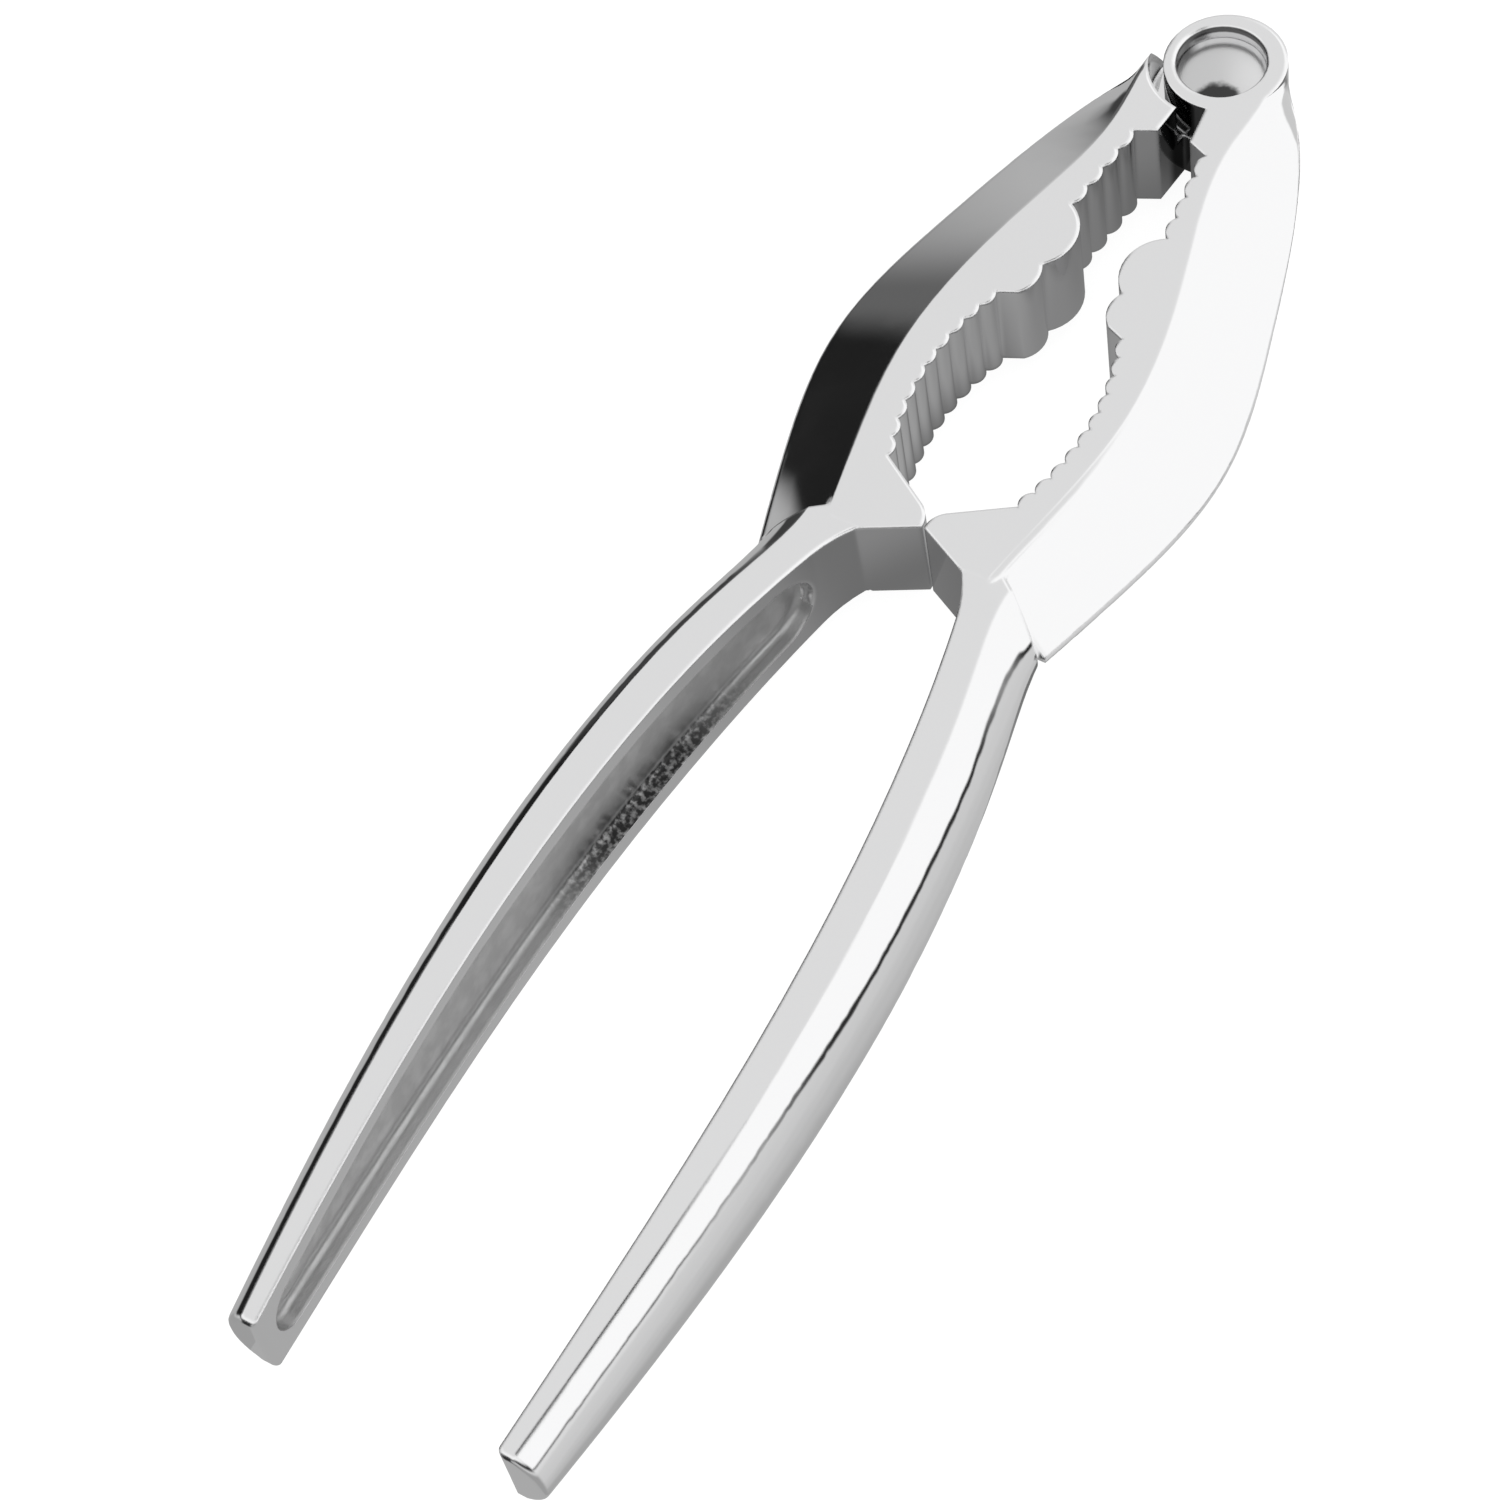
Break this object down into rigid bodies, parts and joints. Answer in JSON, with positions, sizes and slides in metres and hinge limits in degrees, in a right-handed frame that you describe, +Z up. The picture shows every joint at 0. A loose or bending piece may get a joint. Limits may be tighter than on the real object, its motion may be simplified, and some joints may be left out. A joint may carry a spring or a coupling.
{
  "type": "nutcracker",
  "caption": "Hinged hand nutcracker with toothed jaws for small and large nuts, stop noses and bowed, crowned handles.",
  "frame": {"origin": "centre of the closed tool's box in plan, on the surface that the handles' crowns touch", "axes": "+Y along the tool from the handle tips to the hinge, +Z up along the hinge pin, +X to the right arm"},
  "size_m": [0.043, 0.1682, 0.0152],
  "materials": {
    "arm_chrome": "bright chrome plate over a polished zinc casting",
    "pin_steel": "plated steel with a fine turned end"
  },
  "bodies": {
    "fixed_arm": {"right_arm": "arm_chrome", "hinge_pin": "pin_steel"},
    "swing_arm": {"left_arm": "arm_chrome"}
  },
  "joints": [
    {"name": "arm_hinge", "type": "hinge", "parent": "fixed_arm", "child": "swing_arm", "pos_m": [0, 0.07773, 0.0076], "axis": [0, 0, -1], "range_deg": [0, 150]}
  ]
}
